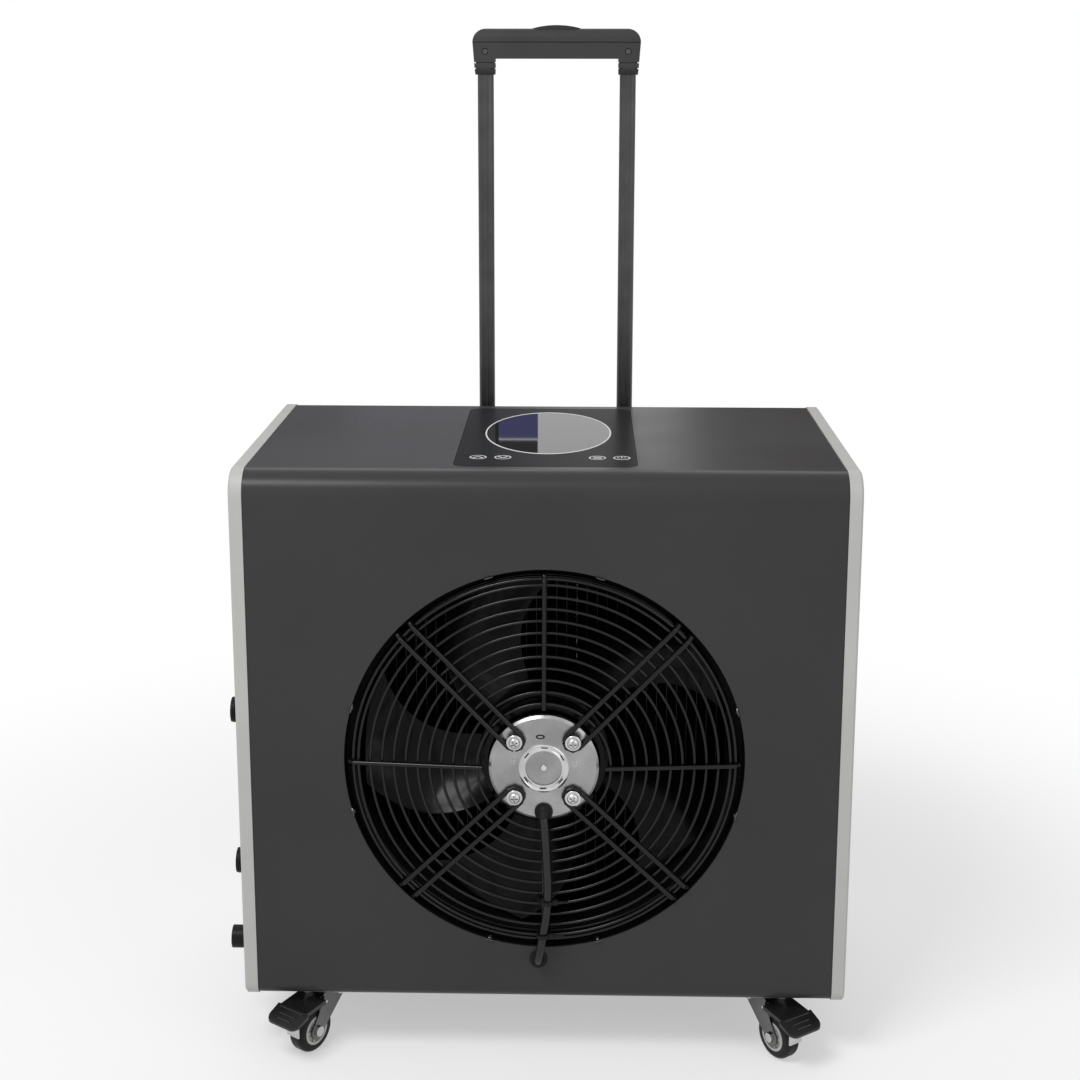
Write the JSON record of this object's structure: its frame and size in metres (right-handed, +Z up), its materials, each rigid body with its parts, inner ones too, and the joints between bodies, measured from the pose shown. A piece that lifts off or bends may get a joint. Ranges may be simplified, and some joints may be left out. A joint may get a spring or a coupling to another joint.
{
  "type": "ice bath chiller",
  "caption": "Wheeled water chiller cabinet with a guarded axial fan, glass control panel, telescopic handle and side water spigots.",
  "frame": {"origin": "middle of the overall box at floor level, under the wheels", "axes": "+Z up, -Y is the fan side, +X to the right when looking at the fan"},
  "size_m": [0.608, 0.3906, 0.983],
  "materials": {
    "front_top_cover": "satin",
    "side_frame_left": "satin",
    "side_frame_right": "satin",
    "rear_panel": "satin",
    "base_pan": "satin",
    "fan_shroud": "satin",
    "fan_guard": "gloss",
    "motor_cap": "brushed",
    "motor_stator": "matte",
    "fan_screws": "polished",
    "cable_grommets": "matte",
    "fan_cable": "satin",
    "cable_ties": "satin",
    "condenser_coil": "satin",
    "compressor": "gloss",
    "compressor_feet": "matte",
    "evaporator": "matte",
    "water_pump": "satin",
    "refrigerant_lines": "satin",
    "water_pipes": "matte",
    "control_box": "satin",
    "control_panel": "gloss",
    "display_window": "gloss",
    "water_inlet": "satin",
    "water_outlet": "satin",
    "drain_plug": "satin",
    "power_gland": "satin",
    "handle_sleeves": "satin",
    "upper_bracket": "satin",
    "lower_bracket": "satin",
    "castor_plates": "polished",
    "fan_rotor": "satin",
    "motor_shaft": "ground",
    "fan_impeller": "satin",
    "handle_tubes": "anodised",
    "grip_upper": "satin",
    "grip_lower": "satin",
    "grip_screws": "satin",
    "button_spring": "satin",
    "release_button": "satin",
    "fork_front_left": "polished",
    "fork_front_right": "polished",
    "fork_rear_left": "polished",
    "fork_rear_right": "polished",
    "axle_front_left": "zinc plated",
    "axle_front_right": "zinc plated",
    "axle_rear_left": "zinc plated",
    "axle_rear_right": "zinc plated",
    "hub_front_left": "satin",
    "hub_front_right": "satin",
    "hub_rear_left": "satin",
    "hub_rear_right": "satin",
    "tyre_front_left": "matte",
    "tyre_front_right": "matte",
    "tyre_rear_left": "matte",
    "tyre_rear_right": "matte",
    "brake_pedal_left": "satin",
    "brake_pedal_right": "satin",
    "brake_blade_left": "zinc plated",
    "brake_blade_right": "zinc plated"
  },
  "bodies": {
    "cabinet": {"front_top_cover": "front_top_cover", "side_frame_left": "side_frame_left", "side_frame_right": "side_frame_right", "rear_panel": "rear_panel", "base_pan": "base_pan", "fan_shroud": "fan_shroud", "fan_guard": "fan_guard", "motor_cap": "motor_cap", "motor_stator": "motor_stator", "fan_screws": "fan_screws", "cable_grommets": "cable_grommets", "fan_cable": "fan_cable", "cable_ties": "cable_ties", "condenser_coil": "condenser_coil", "compressor": "compressor", "compressor_feet": "compressor_feet", "evaporator": "evaporator", "water_pump": "water_pump", "refrigerant_lines": "refrigerant_lines", "water_pipes": "water_pipes", "control_box": "control_box", "control_panel": "control_panel", "display_window": "display_window", "water_inlet": "water_inlet", "water_outlet": "water_outlet", "drain_plug": "drain_plug", "power_gland": "power_gland", "handle_sleeves": "handle_sleeves", "upper_bracket": "upper_bracket", "lower_bracket": "lower_bracket", "castor_plates": "castor_plates"},
    "rotor": {"fan_rotor": "fan_rotor", "motor_shaft": "motor_shaft", "fan_impeller": "fan_impeller"},
    "handle": {"handle_tubes": "handle_tubes", "grip_upper": "grip_upper", "grip_lower": "grip_lower", "grip_screws": "grip_screws", "button_spring": "button_spring"},
    "button": {"release_button": "release_button"},
    "castor_front_left": {"fork_front_left": "fork_front_left", "axle_front_left": "axle_front_left"},
    "wheel_front_left": {"hub_front_left": "hub_front_left", "tyre_front_left": "tyre_front_left"},
    "brake_left": {"brake_pedal_left": "brake_pedal_left", "brake_blade_left": "brake_blade_left"},
    "castor_front_right": {"fork_front_right": "fork_front_right", "axle_front_right": "axle_front_right"},
    "wheel_front_right": {"hub_front_right": "hub_front_right", "tyre_front_right": "tyre_front_right"},
    "brake_right": {"brake_pedal_right": "brake_pedal_right", "brake_blade_right": "brake_blade_right"},
    "castor_rear_left": {"fork_rear_left": "fork_rear_left", "axle_rear_left": "axle_rear_left"},
    "wheel_rear_left": {"hub_rear_left": "hub_rear_left", "tyre_rear_left": "tyre_rear_left"},
    "castor_rear_right": {"fork_rear_right": "fork_rear_right", "axle_rear_right": "axle_rear_right"},
    "wheel_rear_right": {"hub_rear_right": "hub_rear_right", "tyre_rear_right": "tyre_rear_right"}
  },
  "joints": [
    {"name": "fan_spin", "type": "hinge", "parent": "cabinet", "child": "rotor", "pos_m": [0.0165, -0.16771, 0.305], "axis": [0, 1, 0], "continuous": true},
    {"name": "handle_slide", "type": "slide", "parent": "cabinet", "child": "handle", "axis": [0, 0, 1], "range_m": [-0.34, 0]},
    {"name": "button_press", "type": "slide", "parent": "handle", "child": "button", "axis": [0, 0, -1], "range_m": [0, 0.004], "stiffness_N_per_m": 300, "springref_m": -0.004, "deforming": ["button_spring"]},
    {"name": "swivel_front_left", "type": "hinge", "parent": "cabinet", "child": "castor_front_left", "pos_m": [-0.1975, -0.13371, 0.063], "axis": [0, 0, 1], "continuous": true},
    {"name": "roll_front_left", "type": "hinge", "parent": "castor_front_left", "child": "wheel_front_left", "pos_m": [-0.21127, -0.15337, 0.0225], "axis": [0.8192, -0.5736, 0], "continuous": true},
    {"name": "brake_left", "type": "hinge", "parent": "castor_front_left", "child": "brake_left", "pos_m": [-0.20438, -0.14354, 0.048], "axis": [-0.8192, 0.5736, 0], "range_deg": [0, 16]},
    {"name": "swivel_front_right", "type": "hinge", "parent": "cabinet", "child": "castor_front_right", "pos_m": [0.2305, -0.13371, 0.063], "axis": [0, 0, 1], "continuous": true},
    {"name": "roll_front_right", "type": "hinge", "parent": "castor_front_right", "child": "wheel_front_right", "pos_m": [0.24427, -0.15337, 0.0225], "axis": [0.8192, 0.5736, 0], "continuous": true},
    {"name": "brake_right", "type": "hinge", "parent": "castor_front_right", "child": "brake_right", "pos_m": [0.23738, -0.14354, 0.048], "axis": [-0.8192, -0.5736, 0], "range_deg": [0, 16]},
    {"name": "swivel_rear_left", "type": "hinge", "parent": "cabinet", "child": "castor_rear_left", "pos_m": [-0.1975, 0.12829, 0.063], "axis": [0, 0, 1], "continuous": true},
    {"name": "roll_rear_left", "type": "hinge", "parent": "castor_rear_left", "child": "wheel_rear_left", "pos_m": [-0.21127, 0.14795, 0.0225], "axis": [-0.8192, -0.5736, 0], "continuous": true},
    {"name": "swivel_rear_right", "type": "hinge", "parent": "cabinet", "child": "castor_rear_right", "pos_m": [0.2305, 0.12829, 0.063], "axis": [0, 0, 1], "continuous": true},
    {"name": "roll_rear_right", "type": "hinge", "parent": "castor_rear_right", "child": "wheel_rear_right", "pos_m": [0.24427, 0.14795, 0.0225], "axis": [-0.8192, 0.5736, 0], "continuous": true}
  ]
}
